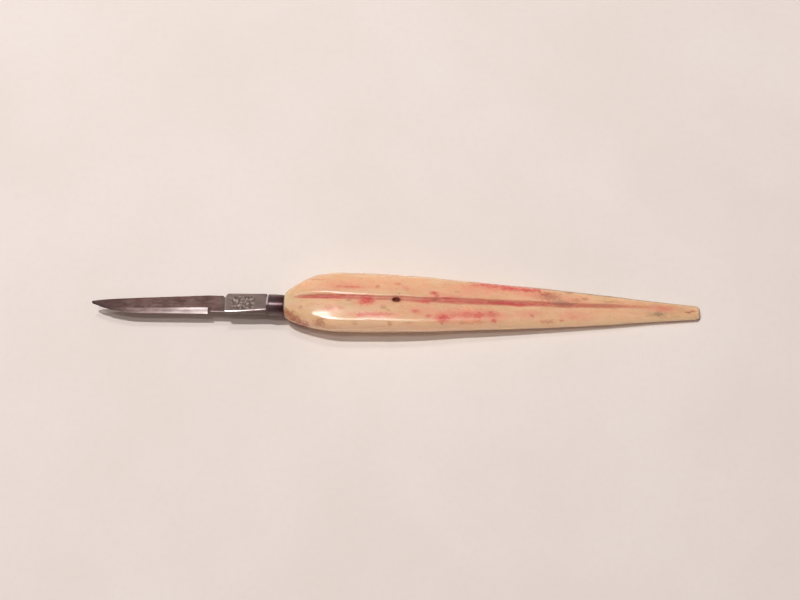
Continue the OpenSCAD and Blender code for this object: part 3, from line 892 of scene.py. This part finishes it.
def bone_look():
    look = Look("bone")
    broad = look.noise((0.10, 0.22, 0.22), 2)
    cloud = look.noise((0.35, 0.8, 0.8), 4)
    grain = look.noise((0.55, 5.5, 5.5), 4, 0.6)
    fine = look.noise((2.2, 9.0, 9.0), 3, 0.6)
    mottle = look.noise((1.1, 1.9, 1.9), 4, 0.65)
    flush = look.noise((0.15, 0.75, 0.75), 4, 0.6)
    speck = look.noise((1.2, 2.2, 2.2), 2, 0.5)

    cream = look.blend(look.ramp(broad, 0.35, 0.65), rgb(0.78, 0.52, 0.31), rgb(0.88, 0.58, 0.37))
    cream = look.blend(look.ramp(grain, 0.35, 0.75, 0.0, 0.35), cream, rgb(0.66, 0.40, 0.20))
    peach = look.painted("peach_tone", look.ramp(cloud, 0.25, 0.7, 0.55, 1.0))
    colour = look.blend(peach, cream, rgb(0.93, 0.525, 0.335))
    colour = look.blend(look.ramp(mottle, 0.55, 0.80, 0.0, 0.28), colour, rgb(0.62, 0.32, 0.16))
    colour = look.blend(look.ramp(cloud, 0.62, 0.40, 0.0, 0.42), colour, rgb(0.88, 0.645, 0.42))
    colour = look.blend(look.ramp(flush, 0.50, 0.72, 0.0, 0.50), colour, rgb(0.84, 0.43, 0.29))
    colour = look.blend(look.ramp(speck, 0.66, 0.75, 0.0, 0.50), colour, rgb(0.50, 0.16, 0.10))
    # painted light: a lighter tint along the front side
    colour = look.blend(look.painted("front_side_painted_light", 0.6), colour, rgb(0.95, 0.65, 0.42))

    pink = look.painted("pink_stain", look.ramp(mottle, 0.25, 0.6, 0.7, 1.0))
    colour = look.blend(pink, colour, rgb(0.84, 0.27, 0.21))
    dirt = look.painted("groove_dirt", look.ramp(grain, 0.2, 0.8, 0.12, 0.40))
    colour = look.blend(dirt, colour, rgb(0.62, 0.27, 0.18))
    red = look.painted("red_stain", look.ramp(mottle, 0.25, 0.55, 0.65, 1.0))
    blood = look.blend(look.ramp(fine, 0.40, 0.75), rgb(0.74, 0.14, 0.13), rgb(0.50, 0.065, 0.055))
    colour = look.blend(look.times(red, 0.92), colour, blood)
    seep = look.painted("groove_red", look.ramp(grain, 0.2, 0.6, 0.70, 1.0))
    deep_red = look.blend(look.ramp(mottle, 0.35, 0.65), rgb(0.74, 0.10, 0.115), rgb(0.57, 0.080, 0.078))
    colour = look.blend(look.times(seep, 0.96), colour, deep_red)
    brown = look.painted("brown_stain", look.ramp(mottle, 0.2, 0.6, 0.7, 1.0))
    colour = look.blend(look.times(brown, 0.85), colour, rgb(0.40, 0.13, 0.06))
    colour = look.blend(look.painted("grey_stain", 0.75), colour, rgb(0.20, 0.16, 0.13))
    colour = look.blend(look.attribute("dark_hole"), colour, rgb(0.26, 0.060, 0.035))
    look.set("Base Color", colour)

    rough = look.ramp(cloud, 0.3, 0.7, 0.17, 0.24)
    rough = look.maths("ADD", rough, look.painted("groove_dirt", 0.05))
    rough = look.maths("ADD", rough, look.painted("dark_hole", 0.3))
    look.set("Roughness", rough)
    look.set("IOR", 1.5)
    look.set("Subsurface Weight", 0.85)
    look.set("Subsurface Radius", (1.0, 0.75, 0.55))
    look.set("Subsurface Scale", 0.0045)
    scraped = look.bump(grain, 0.07, 0.04)
    look.set("Normal", look.bump(mottle, 0.04, 0.08, under=scraped))
    return look.material


def steel_look():
    look = Look("blade_steel")
    streak = look.noise((0.12, 3.2, 3.2), 4, 0.6)
    patch = look.noise((0.26, 0.62, 0.62), 5, 0.65)
    pits = look.noise((2.2, 3.0, 3.0), 4, 0.7)
    scratch = look.noise((1.5, 1.3, 1.3), 2, 0.5)
    lines = look.noise((0.12, 9.0, 9.0), 3, 0.6)
    polish_and_highlight = look.attribute("polish_and_highlight")
    block = look.attribute("block")

    flat = look.blend(look.ramp(patch, 0.35, 0.65), rgb(0.078, 0.032, 0.026), rgb(0.186, 0.118, 0.104))
    flat = look.blend(look.ramp(streak, 0.42, 0.66, 0.0, 0.8), flat, rgb(0.150, 0.058, 0.043))
    worn = look.blend(look.ramp(patch, 0.3, 0.7), rgb(0.162, 0.110, 0.096), rgb(0.228, 0.166, 0.148))
    colour = look.blend(block, flat, worn)
    colour = look.blend(look.ramp(pits, 0.58, 0.78, 0.0, 0.5), colour, rgb(0.09, 0.055, 0.045))
    pit = rgb(0.085, 0.058, 0.048)
    light_scratch = look.painted("mark_zone", look.ramp(scratch, 0.52, 0.60, 0.0, 0.8))
    dark_scratch = look.painted("mark_zone", look.ramp(scratch, 0.47, 0.38, 0.0, 0.8))
    colour = look.blend(light_scratch, colour, rgb(0.44, 0.36, 0.33))
    colour = look.blend(dark_scratch, colour, pit)
    colour = look.blend(look.painted("mark", 0.5, True), colour, pit)
    colour = look.blend(look.painted("tip_dark", 0.8), colour, rgb(0.060, 0.026, 0.027))
    # darker neck, with painted shade in the nick
    colour = look.blend(look.painted("neck_dark", 0.6, True), colour, rgb(0.10, 0.07, 0.06))
    # painted highlight: bright colours on the polished bevel
    bright = look.blend(look.ramp(lines, 0.3, 0.7), rgb(0.31, 0.26, 0.255), rgb(0.56, 0.49, 0.485))
    colour = look.blend(look.ramp(polish_and_highlight, 0.0, 0.9), colour, bright)
    # painted highlight: a near-white line on the lower facet
    colour = look.blend(look.ramp(polish_and_highlight, 1.0, 1.4), colour, rgb(0.95, 0.86, 0.90))
    # worn edges of the ricasso, lightened further as a painted highlight
    wear = look.painted("edge_wear_and_highlight", look.ramp(pits, 0.3, 0.6, 1.0, 0.5))
    colour = look.blend(look.times(wear, 0.8), colour, rgb(0.46, 0.38, 0.34))
    look.set("Base Color", colour)
    look.set("Metallic", look.maths("ADD", look.times(polish_and_highlight, 0.75), 0.22, True))
    rough = look.ramp(patch, 0.3, 0.7, 0.48, 0.38)
    rough = look.maths("SUBTRACT", rough, look.times(polish_and_highlight, 0.02))
    look.set("Roughness", look.maths("ADD", rough, look.ramp(lines, 0.3, 0.7, -0.03, 0.04)))
    scratched = look.bump(lines, 0.03, 0.02)
    dull_pits = look.times(pits, look.maths("SUBTRACT", 1.0, polish_and_highlight, True))
    look.set("Normal", look.bump(dull_pits, 0.08, 0.05, under=scratched))
    return look.material


def collar_look():
    look = Look("bolster_steel")
    patch = look.noise((0.6, 0.6, 0.6), 3)
    rim_light = look.attribute("rim_light")
    dark = look.blend(look.ramp(patch, 0.3, 0.7), rgb(0.122, 0.078, 0.082), rgb(0.172, 0.118, 0.122))
    colour = look.blend(rim_light, dark, rgb(0.60, 0.52, 0.54))
    colour = look.blend(look.painted("rear", 0.9), colour, rgb(0.085, 0.030, 0.035))
    look.set("Base Color", colour)
    look.set("Metallic", look.maths("SUBTRACT", 0.60, look.times(rim_light, 0.55)))
    look.set("Roughness", look.ramp(patch, 0.3, 0.7, 0.29, 0.33))
    look.set("Coat Weight", 0.09)
    look.set("Coat Roughness", 0.16)
    look.set("Normal", look.bump(patch, 0.02, 0.05))
    return look.material


def resin_look():
    look = Look("resin")
    speck = look.noise((6, 6, 6), 3)
    look.set("Base Color", look.blend(speck, rgb(0.035, 0.018, 0.014), rgb(0.09, 0.045, 0.035)))
    look.set("Roughness", look.ramp(speck, 0.3, 0.7, 0.55, 0.75))
    look.set("Normal", look.bump(speck, 0.2, 0.04))
    return look.material


def paper_look():
    look = Look("paper")
    cloud = look.noise((0.02, 0.02, 0.02), 3)
    tooth = look.noise((0.55, 0.55, 0.55), 3)
    colour = look.blend(look.ramp(cloud, 0.3, 0.7), rgb(0.875, 0.820, 0.765), rgb(0.910, 0.862, 0.812))
    colour = look.blend(look.ramp(tooth, 0.4, 0.75, 0.0, 0.12), colour, rgb(0.80, 0.73, 0.67))
    look.set("Base Color", colour)
    look.set("Roughness", 0.85)
    look.set("Specular IOR Level", 0.2)
    look.set("Normal", look.bump(tooth, 0.10, 0.10))
    return look.material


# ---------------------------------------------------------------- stage
FLOOR_REACH = 20 * OVERALL
LAMP_DISTANCE = 6 * OVERALL
WARM, WHITE = (1.0, 0.965, 0.93), (1.0, 0.98, 0.97)
# Name, direction from the knife, length and depth in mm, light on the floor, colour. The last two show
# only as highlights; the others throw light without showing as highlights.
LAMPS = [
    ("key", (-0.24, 0.30, 1), (38, 38), 0.525, WHITE),
    ("overhead", (-0.20, 0.05, 1), (44, 44), 0.11, WARM),
    ("side", (-0.12, 0.55, 1), (60, 60), 0.13, WARM),
    ("dome", (0, 0, 1), (2.4 * LAMP_DISTANCE, 2.4 * LAMP_DISTANCE), 0.17, WARM),
    ("front_fill", (0.1, -1, 0.28), (600, 600), 0.05, WARM),
    ("bone_fill", (0.1, -1, 0.12), (600, 600), 0.20, WARM),
    ("shine", (-0.22, -0.02, 1), (150, 110), 0.19, WHITE),
    ("long_shine", (0.04, -0.02, 1), (420, 110), 0.24, WHITE),
]
HIGHLIGHT_LAMPS = ("shine", "long_shine")
# This one lights only the handle
BONE_LAMP = "bone_fill"

# Azimuth, distance and target come from a least squares fit of the knife's outline to the photo
CAMERA_AZIMUTH = math.radians(-1.276)
CAMERA_ELEVATION = math.radians(75)
CAMERA_DISTANCE = 1.8305 * OVERALL
CAMERA_TARGET = (0.633, 2.202, 0)
CAMERA_VIEW = math.radians(40)
SENSOR = 36


def make_floor():
    size = FLOOR_REACH * MM
    mesh = bpy.data.meshes.new("floor")
    corners = [(-size, -size, 0), (size, -size, 0), (size, size, 0), (-size, size, 0)]
    mesh.from_pydata(corners, [], [(0, 1, 2, 3)])
    floor = bpy.data.objects.new("floor", mesh)
    bpy.context.scene.collection.objects.link(floor)
    floor.data.materials.append(paper_look())


def add_lamp(name, direction, size, lit, colour):
    """A lamp aimed at the knife; lit is its light on the floor as a share of full white."""
    way = Vector(direction).normalized()
    along = Vector((1, 0, 0))
    along = (along - way * along.dot(way)).normalized()
    data = bpy.data.lights.new(name, "AREA")
    data.shape = "ELLIPSE"
    data.size, data.size_y = size[0] * MM, size[1] * MM
    data.energy = lit * (math.pi * LAMP_DISTANCE * MM) ** 2
    data.color = colour
    lamp = bpy.data.objects.new(name, data)
    turn = Matrix((along, way.cross(along), way)).transposed()
    lamp.matrix_world = Matrix.Translation(way * LAMP_DISTANCE * MM) @ turn.to_4x4()
    lamp.visible_diffuse = name not in HIGHLIGHT_LAMPS
    lamp.visible_glossy = name in HIGHLIGHT_LAMPS
    bpy.context.scene.collection.objects.link(lamp)
    return lamp


def make_lights(bone):
    lamps = {row[0]: add_lamp(*row) for row in LAMPS}
    lit_pieces = bpy.data.collections.new("bone_fill_lights")
    lit_pieces.objects.link(bone)
    lamps[BONE_LAMP].light_linking.receiver_collection = lit_pieces


def make_world():
    """A dim room, darker on the side that the camera stands on; it shows mostly in the steel."""
    world = bpy.data.worlds.new("studio")
    world.use_nodes = True
    tree = world.node_tree
    back = tree.nodes["Background"]
    way = tree.nodes.new("ShaderNodeTexCoord")
    split = tree.nodes.new("ShaderNodeSeparateXYZ")
    tree.links.new(way.outputs["Generated"], split.inputs["Vector"])
    ramp = tree.nodes.new("ShaderNodeMapRange")
    ramp.inputs["From Min"].default_value = -0.6
    ramp.inputs["From Max"].default_value = 0.5
    tree.links.new(split.outputs["Y"], ramp.inputs["Value"])
    tint = tree.nodes.new("ShaderNodeMix")
    tint.data_type = "RGBA"
    sockets = {i.identifier: i for i in tint.inputs}
    sockets["A_Color"].default_value = rgb(0.070, 0.036, 0.036)
    sockets["B_Color"].default_value = rgb(0.180, 0.120, 0.115)
    tree.links.new(ramp.outputs["Result"], sockets["Factor_Float"])
    result = next(o for o in tint.outputs if o.identifier == "Result_Color")
    tree.links.new(result, back.inputs["Color"])
    back.inputs["Strength"].default_value = 1.0
    bpy.context.scene.world = world


def make_camera():
    flat, steep = math.cos(CAMERA_ELEVATION), math.sin(CAMERA_ELEVATION)
    right_x, right_y = math.cos(CAMERA_AZIMUTH), -math.sin(CAMERA_AZIMUTH)
    look = Vector((-right_y * flat, right_x * flat, -steep))
    right = Vector((right_x, right_y, 0))
    data = bpy.data.cameras.new("camera")
    data.sensor_width = SENSOR
    data.lens = SENSOR / (2 * math.tan(CAMERA_VIEW / 2))
    data.clip_start = 0.01
    camera = bpy.data.objects.new("camera", data)
    turn = Matrix((right, right.cross(look), -look)).transposed()
    place = Vector(CAMERA_TARGET) * MM - look * CAMERA_DISTANCE * MM
    camera.matrix_world = Matrix.Translation(place) @ turn.to_4x4()
    bpy.context.scene.collection.objects.link(camera)
    bpy.context.scene.camera = camera


# ---------------------------------------------------------------- assembly
def finish_piece(piece, look, node):
    piece.data.materials.append(look)
    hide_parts(node)
    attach(piece, "root")


handle_bone = make_handle()
finish_piece(handle_bone, bone_look(), "handle")
finish_piece(make_blade(), steel_look(), "blade")
finish_piece(make_collar(), collar_look(), "bolster")

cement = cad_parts["tang_cement"]
cement.data.materials.clear()
cement.data.materials.append(resin_look())

make_floor()
make_lights(handle_bone)
make_world()
make_camera()
bpy.context.scene.view_settings.view_transform = "Standard"
